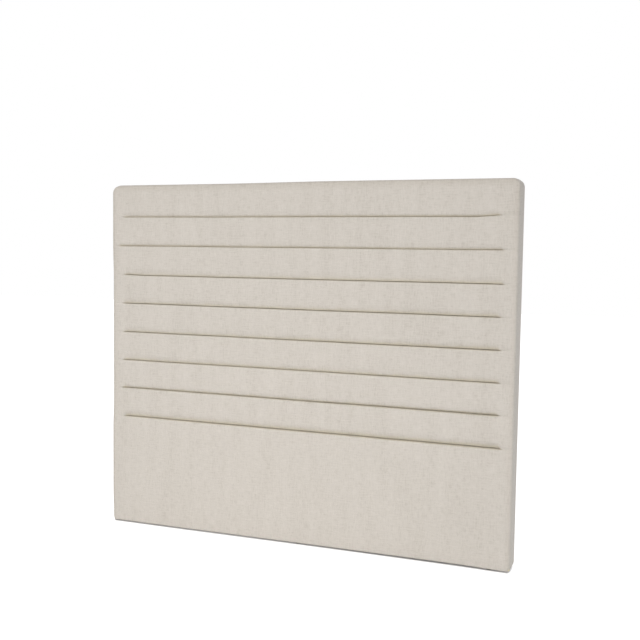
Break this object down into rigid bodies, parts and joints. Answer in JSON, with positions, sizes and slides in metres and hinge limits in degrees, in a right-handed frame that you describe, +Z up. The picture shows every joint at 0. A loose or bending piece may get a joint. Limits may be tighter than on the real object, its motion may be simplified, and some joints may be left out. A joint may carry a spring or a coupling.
{
  "type": "upholstered headboard",
  "caption": "Floor-standing slab headboard, fabric upholstered, with horizontal padded channels above a plain lower panel and threaded inserts in the back for bed brackets.",
  "frame": {"origin": "on the floor under the middle of the slab, centre of the footprint of the whole part", "axes": "+X along the width, to the right seen from the front; +Y from the padded front to the back; +Z up"},
  "size_m": [1.6, 0.1, 1.355],
  "materials": {
    "cover_fabric": "matte woven linen-look upholstery cloth",
    "foam": "matte open-cell polyurethane foam",
    "wadding": "matte polyester wadding",
    "timber": "planed pine, matte",
    "dowel_wood": "turned beech, matte",
    "face_board": "matte hard fibreboard",
    "dust_cover_cloth": "matte spunbond nonwoven",
    "zinc_steel": "satin zinc plated",
    "staple_wire": "satin galvanised wire",
    "glide_plastic": "matte moulded polyethylene"
  },
  "bodies": {
    "root": {"board_screws": "zinc_steel", "bottom_left_corner_block": "timber", "bottom_rail": "timber", "bottom_right_corner_block": "timber", "centre_stud_lower": "timber", "centre_stud_middle": "timber", "centre_stud_upper": "timber", "channel_foam_1": "foam", "channel_foam_2": "foam", "channel_foam_3": "foam", "channel_foam_4": "foam", "channel_foam_5": "foam", "channel_foam_6": "foam", "channel_foam_7": "foam", "channel_staples": "staple_wire", "cover_staples": "staple_wire", "dust_cover": "dust_cover_cloth", "dust_cover_staples": "staple_wire", "fabric_cover": "cover_fabric", "floor_glides": "glide_plastic", "frame_screws": "zinc_steel", "glide_nails": "zinc_steel", "left_border_foam": "foam", "left_bracket_stud": "timber", "left_side_wadding": "wadding", "left_stile": "timber", "lower_face_board": "face_board", "lower_mid_rail": "timber", "lower_panel_foam": "foam", "right_border_foam": "foam", "right_bracket_stud": "timber", "right_side_wadding": "wadding", "right_stile": "timber", "stud_dowels": "dowel_wood", "threaded_inserts": "zinc_steel", "top_band_foam": "foam", "top_edge_wadding": "wadding", "top_left_corner_block": "timber", "top_rail": "timber", "top_right_corner_block": "timber", "upper_face_board": "face_board", "upper_mid_rail": "timber"}
  },
  "joints": []
}
